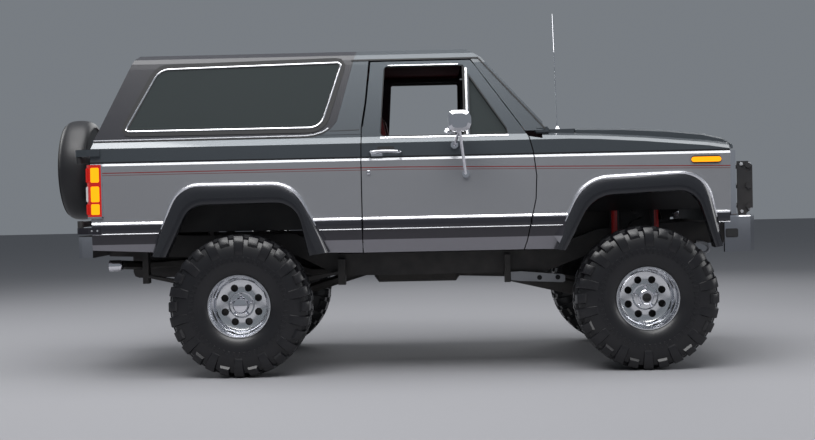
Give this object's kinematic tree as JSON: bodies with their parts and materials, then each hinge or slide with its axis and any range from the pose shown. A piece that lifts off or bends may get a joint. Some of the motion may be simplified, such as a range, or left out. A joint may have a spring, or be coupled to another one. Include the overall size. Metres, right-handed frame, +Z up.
{
  "type": "lifted off-road 4x4",
  "caption": "Two-door off-road 4x4 on a raised ladder frame with mud tyres, removable rear top, brush guard, swing-away spare and opening doors and hood.",
  "frame": {"origin": "on the ground under the middle of the whole outline", "axes": "+X towards the grille, +Y towards the vehicle's left, +Z up"},
  "size_m": [4.825, 2.48, 2.3451],
  "materials": {
    "paint": "metallic clear coat",
    "top_black": "satin grain",
    "black_steel": "satin chassis paint",
    "chrome": "polished",
    "polished_alloy": "polished",
    "tyre": "moulded rubber",
    "glass": "tinted",
    "red_lens": "lit lens",
    "trim": "woven cloth and moulded trim",
    "cast": "oily cast metal"
  },
  "bodies": {
    "chassis": {"antenna": "chrome", "brush_guard": "black_steel", "cowl": "paint", "dashboard": "trim", "driveline": "cast", "engine": "cast", "exhaust": "cast", "fender_left": "paint", "fender_right": "paint", "floor": "trim", "frame": "black_steel", "front_axle": "black_steel", "front_bumper": "chrome", "fuel_tank": "black_steel", "grille": "chrome", "leaf_spring_left": "black_steel", "leaf_spring_right": "black_steel", "quarter_glass_left": "glass", "quarter_glass_right": "glass", "quarter_left": "paint", "quarter_right": "paint", "radiator": "black_steel", "rear_axle": "black_steel", "rear_bumper": "chrome", "rear_glass": "glass", "rear_seat": "trim", "rear_top": "top_black", "roof": "paint", "seat_left": "trim", "seat_right": "trim", "spring_unit_left": "black_steel", "spring_unit_right": "black_steel", "tail_lamp_left": "red_lens", "tail_lamp_right": "red_lens", "tailgate": "paint", "windscreen": "glass"},
    "door_left": {"door_left": "paint", "vent_glass_left": "glass", "mirror_left": "chrome"},
    "door_right": {"door_right": "paint", "vent_glass_right": "glass", "mirror_right": "chrome"},
    "hood": {"hood": "paint"},
    "spare_carrier": {"spare_carrier": "black_steel", "spare_cover": "top_black"},
    "knuckle_left": {"knuckle_left": "black_steel"},
    "knuckle_right": {"knuckle_right": "black_steel"},
    "tie_rod": {"tie_rod": "black_steel"},
    "wheel_front_left": {"rim_front_left": "polished_alloy", "tyre_front_left": "tyre"},
    "wheel_front_right": {"rim_front_right": "polished_alloy", "tyre_front_right": "tyre"},
    "wheel_rear_left": {"rim_rear_left": "polished_alloy", "tyre_rear_left": "tyre"},
    "wheel_rear_right": {"rim_rear_right": "polished_alloy", "tyre_rear_right": "tyre"}
  },
  "joints": [
    {"name": "wheel_front_left_spin", "type": "hinge", "parent": "knuckle_left", "child": "wheel_front_left", "pos_m": [1.5925, 0.865, 0.4675], "axis": [0, 1, 0], "continuous": true},
    {"name": "wheel_front_right_spin", "type": "hinge", "parent": "knuckle_right", "child": "wheel_front_right", "pos_m": [1.5925, -0.865, 0.4675], "axis": [0, 1, 0], "continuous": true},
    {"name": "wheel_rear_left_spin", "type": "hinge", "parent": "chassis", "child": "wheel_rear_left", "pos_m": [-1.0675, 0.865, 0.4675], "axis": [0, 1, 0], "continuous": true},
    {"name": "wheel_rear_right_spin", "type": "hinge", "parent": "chassis", "child": "wheel_rear_right", "pos_m": [-1.0675, -0.865, 0.4675], "axis": [0, 1, 0], "continuous": true},
    {"name": "steer_left", "type": "hinge", "parent": "chassis", "child": "knuckle_left", "pos_m": [1.5925, 0.7, 0.4675], "axis": [0, 0, 1], "range_deg": [-28, 28]},
    {"name": "steer_right", "type": "hinge", "parent": "chassis", "child": "knuckle_right", "pos_m": [1.5925, -0.7, 0.4675], "axis": [0, 0, 1], "range_deg": [-28, 28]},
    {"name": "tie_rod_slide", "type": "slide", "parent": "chassis", "child": "tie_rod", "axis": [0, 1, 0], "range_m": [-0.098, 0.098]},
    {"name": "door_left_swing", "type": "hinge", "parent": "chassis", "child": "door_left", "pos_m": [0.8455, 0.974, 1.4], "axis": [0, 0, -1], "range_deg": [0, 65]},
    {"name": "door_right_swing", "type": "hinge", "parent": "chassis", "child": "door_right", "pos_m": [0.8455, -0.974, 1.4], "axis": [0, 0, 1], "range_deg": [0, 65]},
    {"name": "hood_lift", "type": "hinge", "parent": "chassis", "child": "hood", "pos_m": [1.1525, 0, 1.605], "axis": [0, -1, 0], "range_deg": [0, 55]},
    {"name": "carrier_swing", "type": "hinge", "parent": "chassis", "child": "spare_carrier", "pos_m": [-2.1025, -0.945, 1.4], "axis": [0, 0, 1], "range_deg": [0, 110]}
  ],
  "couplings": [
    {"joint": "steer_right", "follows": "steer_left", "ratio": 1},
    {"joint": "tie_rod_slide", "follows": "steer_left", "m_per_rad": 0.2}
  ]
}
